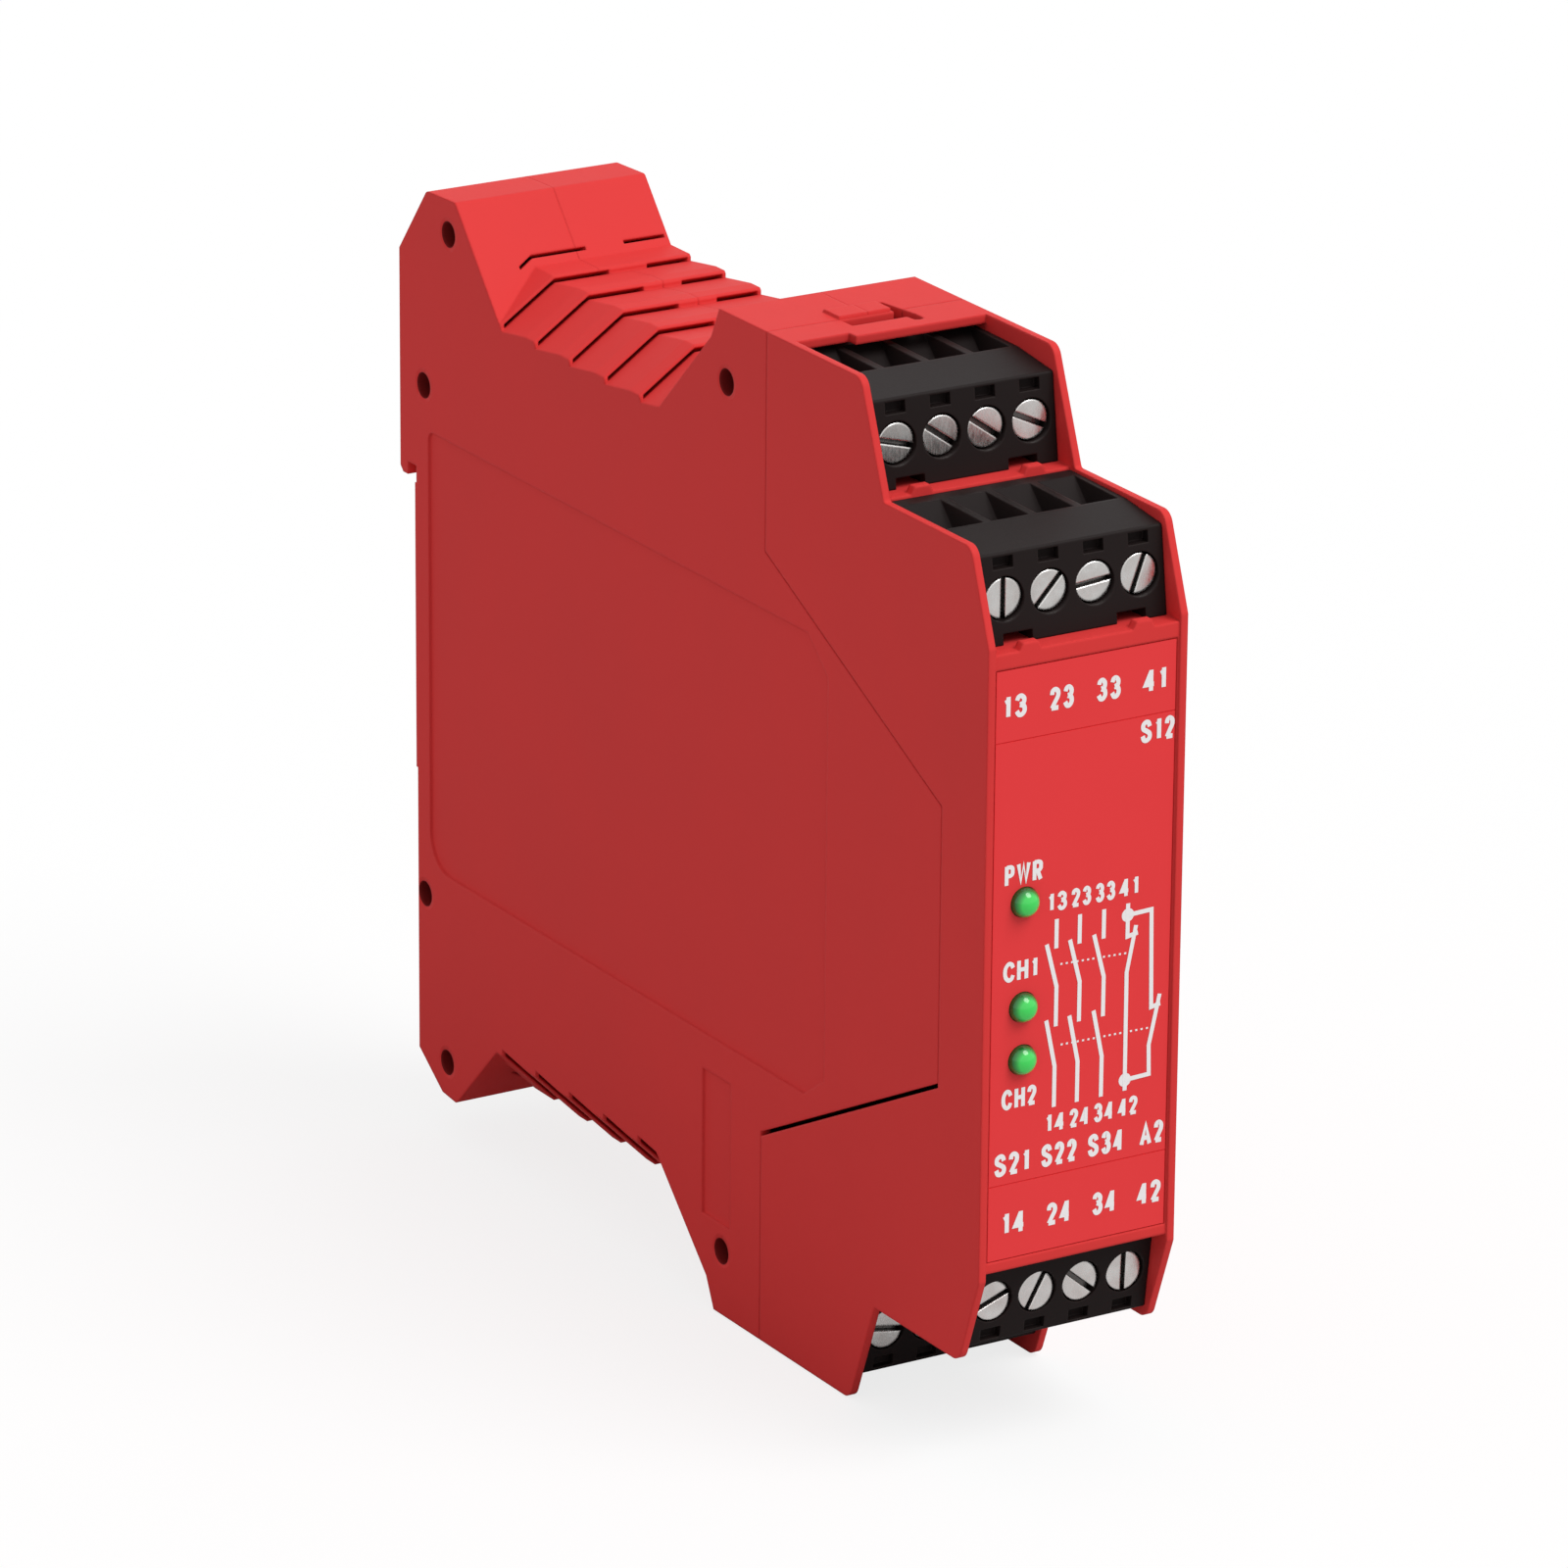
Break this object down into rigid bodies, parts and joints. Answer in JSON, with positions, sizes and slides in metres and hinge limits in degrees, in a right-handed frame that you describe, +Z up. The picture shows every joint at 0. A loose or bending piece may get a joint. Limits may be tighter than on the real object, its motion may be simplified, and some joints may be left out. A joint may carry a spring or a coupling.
{
  "type": "safety relay module",
  "caption": "Narrow safety relay module for a 35 mm rail, with plug-in screw terminals in two tiers above and below a flat front panel with green indicators.",
  "frame": {"origin": "centre of the rail seat: middle of the width, on the seat's face, at the middle of the rail", "axes": "+Z up along the rail's height, +Y back into the rail, so the front panel faces -Y; +X to the right seen from the front"},
  "size_m": [0.0226, 0.1156, 0.1061],
  "materials": {
    "housing_red": "satin",
    "label_red": "satin",
    "led_green": "gloss",
    "board_green": "satin",
    "relay_case": "gloss",
    "capacitor_can": "satin",
    "spring_steel": "satin",
    "terminal_black": "matte",
    "foot_black": "matte",
    "contact_tin": "satin",
    "screw_steel": "bright",
    "cage_brass": "satin"
  },
  "bodies": {
    "housing": {"base_shell_left": "housing_red", "base_shell_right": "housing_red", "front_hood": "housing_red", "front_label": "label_red", "led_power": "led_green", "led_channel_1": "led_green", "led_channel_2": "led_green", "circuit_board": "board_green", "relay_channel_1": "relay_case", "relay_channel_2": "relay_case", "supply_capacitor": "capacitor_can", "foot_spring": "spring_steel", "pin_header_upper_rear": "terminal_black", "header_pins_upper_rear": "contact_tin", "pin_header_upper_front": "terminal_black", "header_pins_upper_front": "contact_tin", "pin_header_lower_front": "terminal_black", "header_pins_lower_front": "contact_tin", "pin_header_lower_rear": "terminal_black", "header_pins_lower_rear": "contact_tin"},
    "rail_foot": {"rail_foot": "foot_black"},
    "plug_upper_rear": {"terminal_block_upper_rear": "terminal_black"},
    "screw_upper_rear_1": {"screw_upper_rear_1": "screw_steel"},
    "cage_upper_rear_1": {"cage_upper_rear_1": "cage_brass"},
    "screw_upper_rear_2": {"screw_upper_rear_2": "screw_steel"},
    "cage_upper_rear_2": {"cage_upper_rear_2": "cage_brass"},
    "screw_upper_rear_3": {"screw_upper_rear_3": "screw_steel"},
    "cage_upper_rear_3": {"cage_upper_rear_3": "cage_brass"},
    "screw_upper_rear_4": {"screw_upper_rear_4": "screw_steel"},
    "cage_upper_rear_4": {"cage_upper_rear_4": "cage_brass"},
    "plug_upper_front": {"terminal_block_upper_front": "terminal_black"},
    "screw_upper_front_1": {"screw_upper_front_1": "screw_steel"},
    "cage_upper_front_1": {"cage_upper_front_1": "cage_brass"},
    "screw_upper_front_2": {"screw_upper_front_2": "screw_steel"},
    "cage_upper_front_2": {"cage_upper_front_2": "cage_brass"},
    "screw_upper_front_3": {"screw_upper_front_3": "screw_steel"},
    "cage_upper_front_3": {"cage_upper_front_3": "cage_brass"},
    "screw_upper_front_4": {"screw_upper_front_4": "screw_steel"},
    "cage_upper_front_4": {"cage_upper_front_4": "cage_brass"},
    "plug_lower_front": {"terminal_block_lower_front": "terminal_black"},
    "screw_lower_front_1": {"screw_lower_front_1": "screw_steel"},
    "cage_lower_front_1": {"cage_lower_front_1": "cage_brass"},
    "screw_lower_front_2": {"screw_lower_front_2": "screw_steel"},
    "cage_lower_front_2": {"cage_lower_front_2": "cage_brass"},
    "screw_lower_front_3": {"screw_lower_front_3": "screw_steel"},
    "cage_lower_front_3": {"cage_lower_front_3": "cage_brass"},
    "screw_lower_front_4": {"screw_lower_front_4": "screw_steel"},
    "cage_lower_front_4": {"cage_lower_front_4": "cage_brass"},
    "plug_lower_rear": {"terminal_block_lower_rear": "terminal_black"},
    "screw_lower_rear_1": {"screw_lower_rear_1": "screw_steel"},
    "cage_lower_rear_1": {"cage_lower_rear_1": "cage_brass"},
    "screw_lower_rear_2": {"screw_lower_rear_2": "screw_steel"},
    "cage_lower_rear_2": {"cage_lower_rear_2": "cage_brass"},
    "screw_lower_rear_3": {"screw_lower_rear_3": "screw_steel"},
    "cage_lower_rear_3": {"cage_lower_rear_3": "cage_brass"},
    "screw_lower_rear_4": {"screw_lower_rear_4": "screw_steel"},
    "cage_lower_rear_4": {"cage_lower_rear_4": "cage_brass"}
  },
  "joints": [
    {"name": "foot_slide", "type": "slide", "parent": "housing", "child": "rail_foot", "axis": [0, 0, -1], "range_m": [0, 0.0035], "stiffness_N_per_m": 1500, "springref_m": -0.0005, "deforming": ["foot_spring"]},
    {"name": "plug_upper_rear_slide", "type": "slide", "parent": "housing", "child": "plug_upper_rear", "axis": [0, -1, 0], "range_m": [0, 0.013]},
    {"name": "screw_upper_rear_1_turn", "type": "hinge", "parent": "plug_upper_rear", "child": "screw_upper_rear_1", "pos_m": [-0.00762, -0.0865, 0.04355], "axis": [0, 1, 0], "range_deg": [0, 1584.1]},
    {"name": "cage_upper_rear_1_rise", "type": "slide", "parent": "plug_upper_rear", "child": "cage_upper_rear_1", "axis": [0, -1, 0], "range_m": [0, 0.0022]},
    {"name": "screw_upper_rear_2_turn", "type": "hinge", "parent": "plug_upper_rear", "child": "screw_upper_rear_2", "pos_m": [-0.00254, -0.0865, 0.04355], "axis": [0, 1, 0], "range_deg": [0, 1584.1]},
    {"name": "cage_upper_rear_2_rise", "type": "slide", "parent": "plug_upper_rear", "child": "cage_upper_rear_2", "axis": [0, -1, 0], "range_m": [0, 0.0022]},
    {"name": "screw_upper_rear_3_turn", "type": "hinge", "parent": "plug_upper_rear", "child": "screw_upper_rear_3", "pos_m": [0.00254, -0.0865, 0.04355], "axis": [0, 1, 0], "range_deg": [0, 1584.1]},
    {"name": "cage_upper_rear_3_rise", "type": "slide", "parent": "plug_upper_rear", "child": "cage_upper_rear_3", "axis": [0, -1, 0], "range_m": [0, 0.0022]},
    {"name": "screw_upper_rear_4_turn", "type": "hinge", "parent": "plug_upper_rear", "child": "screw_upper_rear_4", "pos_m": [0.00762, -0.0865, 0.04355], "axis": [0, 1, 0], "range_deg": [0, 1584.1]},
    {"name": "cage_upper_rear_4_rise", "type": "slide", "parent": "plug_upper_rear", "child": "cage_upper_rear_4", "axis": [0, -1, 0], "range_m": [0, 0.0022]},
    {"name": "plug_upper_front_slide", "type": "slide", "parent": "housing", "child": "plug_upper_front", "axis": [0, -1, 0], "range_m": [0, 0.013]},
    {"name": "screw_upper_front_1_turn", "type": "hinge", "parent": "plug_upper_front", "child": "screw_upper_front_1", "pos_m": [-0.00762, -0.106, 0.0335], "axis": [0, 1, 0], "range_deg": [0, 1584.1]},
    {"name": "cage_upper_front_1_rise", "type": "slide", "parent": "plug_upper_front", "child": "cage_upper_front_1", "axis": [0, -1, 0], "range_m": [0, 0.0022]},
    {"name": "screw_upper_front_2_turn", "type": "hinge", "parent": "plug_upper_front", "child": "screw_upper_front_2", "pos_m": [-0.00254, -0.106, 0.0335], "axis": [0, 1, 0], "range_deg": [0, 1584.1]},
    {"name": "cage_upper_front_2_rise", "type": "slide", "parent": "plug_upper_front", "child": "cage_upper_front_2", "axis": [0, -1, 0], "range_m": [0, 0.0022]},
    {"name": "screw_upper_front_3_turn", "type": "hinge", "parent": "plug_upper_front", "child": "screw_upper_front_3", "pos_m": [0.00254, -0.106, 0.0335], "axis": [0, 1, 0], "range_deg": [0, 1584.1]},
    {"name": "cage_upper_front_3_rise", "type": "slide", "parent": "plug_upper_front", "child": "cage_upper_front_3", "axis": [0, -1, 0], "range_m": [0, 0.0022]},
    {"name": "screw_upper_front_4_turn", "type": "hinge", "parent": "plug_upper_front", "child": "screw_upper_front_4", "pos_m": [0.00762, -0.106, 0.0335], "axis": [0, 1, 0], "range_deg": [0, 1584.1]},
    {"name": "cage_upper_front_4_rise", "type": "slide", "parent": "plug_upper_front", "child": "cage_upper_front_4", "axis": [0, -1, 0], "range_m": [0, 0.0022]},
    {"name": "plug_lower_front_slide", "type": "slide", "parent": "housing", "child": "plug_lower_front", "axis": [0, -1, 0], "range_m": [0, 0.013]},
    {"name": "screw_lower_front_1_turn", "type": "hinge", "parent": "plug_lower_front", "child": "screw_lower_front_1", "pos_m": [0.00762, -0.106, -0.0383], "axis": [0, 1, 0], "range_deg": [0, 1584.1]},
    {"name": "cage_lower_front_1_rise", "type": "slide", "parent": "plug_lower_front", "child": "cage_lower_front_1", "axis": [0, -1, 0], "range_m": [0, 0.0022]},
    {"name": "screw_lower_front_2_turn", "type": "hinge", "parent": "plug_lower_front", "child": "screw_lower_front_2", "pos_m": [0.00254, -0.106, -0.0383], "axis": [0, 1, 0], "range_deg": [0, 1584.1]},
    {"name": "cage_lower_front_2_rise", "type": "slide", "parent": "plug_lower_front", "child": "cage_lower_front_2", "axis": [0, -1, 0], "range_m": [0, 0.0022]},
    {"name": "screw_lower_front_3_turn", "type": "hinge", "parent": "plug_lower_front", "child": "screw_lower_front_3", "pos_m": [-0.00254, -0.106, -0.0383], "axis": [0, 1, 0], "range_deg": [0, 1584.1]},
    {"name": "cage_lower_front_3_rise", "type": "slide", "parent": "plug_lower_front", "child": "cage_lower_front_3", "axis": [0, -1, 0], "range_m": [0, 0.0022]},
    {"name": "screw_lower_front_4_turn", "type": "hinge", "parent": "plug_lower_front", "child": "screw_lower_front_4", "pos_m": [-0.00762, -0.106, -0.0383], "axis": [0, 1, 0], "range_deg": [0, 1584.1]},
    {"name": "cage_lower_front_4_rise", "type": "slide", "parent": "plug_lower_front", "child": "cage_lower_front_4", "axis": [0, -1, 0], "range_m": [0, 0.0022]},
    {"name": "plug_lower_rear_slide", "type": "slide", "parent": "housing", "child": "plug_lower_rear", "axis": [0, -1, 0], "range_m": [0, 0.013]},
    {"name": "screw_lower_rear_1_turn", "type": "hinge", "parent": "plug_lower_rear", "child": "screw_lower_rear_1", "pos_m": [0.00762, -0.0865, -0.04835], "axis": [0, 1, 0], "range_deg": [0, 1584.1]},
    {"name": "cage_lower_rear_1_rise", "type": "slide", "parent": "plug_lower_rear", "child": "cage_lower_rear_1", "axis": [0, -1, 0], "range_m": [0, 0.0022]},
    {"name": "screw_lower_rear_2_turn", "type": "hinge", "parent": "plug_lower_rear", "child": "screw_lower_rear_2", "pos_m": [0.00254, -0.0865, -0.04835], "axis": [0, 1, 0], "range_deg": [0, 1584.1]},
    {"name": "cage_lower_rear_2_rise", "type": "slide", "parent": "plug_lower_rear", "child": "cage_lower_rear_2", "axis": [0, -1, 0], "range_m": [0, 0.0022]},
    {"name": "screw_lower_rear_3_turn", "type": "hinge", "parent": "plug_lower_rear", "child": "screw_lower_rear_3", "pos_m": [-0.00254, -0.0865, -0.04835], "axis": [0, 1, 0], "range_deg": [0, 1584.1]},
    {"name": "cage_lower_rear_3_rise", "type": "slide", "parent": "plug_lower_rear", "child": "cage_lower_rear_3", "axis": [0, -1, 0], "range_m": [0, 0.0022]},
    {"name": "screw_lower_rear_4_turn", "type": "hinge", "parent": "plug_lower_rear", "child": "screw_lower_rear_4", "pos_m": [-0.00762, -0.0865, -0.04835], "axis": [0, 1, 0], "range_deg": [0, 1584.1]},
    {"name": "cage_lower_rear_4_rise", "type": "slide", "parent": "plug_lower_rear", "child": "cage_lower_rear_4", "axis": [0, -1, 0], "range_m": [0, 0.0022]}
  ],
  "couplings": [
    {"joint": "screw_upper_rear_1_turn", "follows": "cage_upper_rear_1_rise", "rad_per_m": 12566},
    {"joint": "screw_upper_rear_2_turn", "follows": "cage_upper_rear_2_rise", "rad_per_m": 12566},
    {"joint": "screw_upper_rear_3_turn", "follows": "cage_upper_rear_3_rise", "rad_per_m": 12566},
    {"joint": "screw_upper_rear_4_turn", "follows": "cage_upper_rear_4_rise", "rad_per_m": 12566},
    {"joint": "screw_upper_front_1_turn", "follows": "cage_upper_front_1_rise", "rad_per_m": 12566},
    {"joint": "screw_upper_front_2_turn", "follows": "cage_upper_front_2_rise", "rad_per_m": 12566},
    {"joint": "screw_upper_front_3_turn", "follows": "cage_upper_front_3_rise", "rad_per_m": 12566},
    {"joint": "screw_upper_front_4_turn", "follows": "cage_upper_front_4_rise", "rad_per_m": 12566},
    {"joint": "screw_lower_front_1_turn", "follows": "cage_lower_front_1_rise", "rad_per_m": 12566},
    {"joint": "screw_lower_front_2_turn", "follows": "cage_lower_front_2_rise", "rad_per_m": 12566},
    {"joint": "screw_lower_front_3_turn", "follows": "cage_lower_front_3_rise", "rad_per_m": 12566},
    {"joint": "screw_lower_front_4_turn", "follows": "cage_lower_front_4_rise", "rad_per_m": 12566},
    {"joint": "screw_lower_rear_1_turn", "follows": "cage_lower_rear_1_rise", "rad_per_m": 12566},
    {"joint": "screw_lower_rear_2_turn", "follows": "cage_lower_rear_2_rise", "rad_per_m": 12566},
    {"joint": "screw_lower_rear_3_turn", "follows": "cage_lower_rear_3_rise", "rad_per_m": 12566},
    {"joint": "screw_lower_rear_4_turn", "follows": "cage_lower_rear_4_rise", "rad_per_m": 12566}
  ]
}
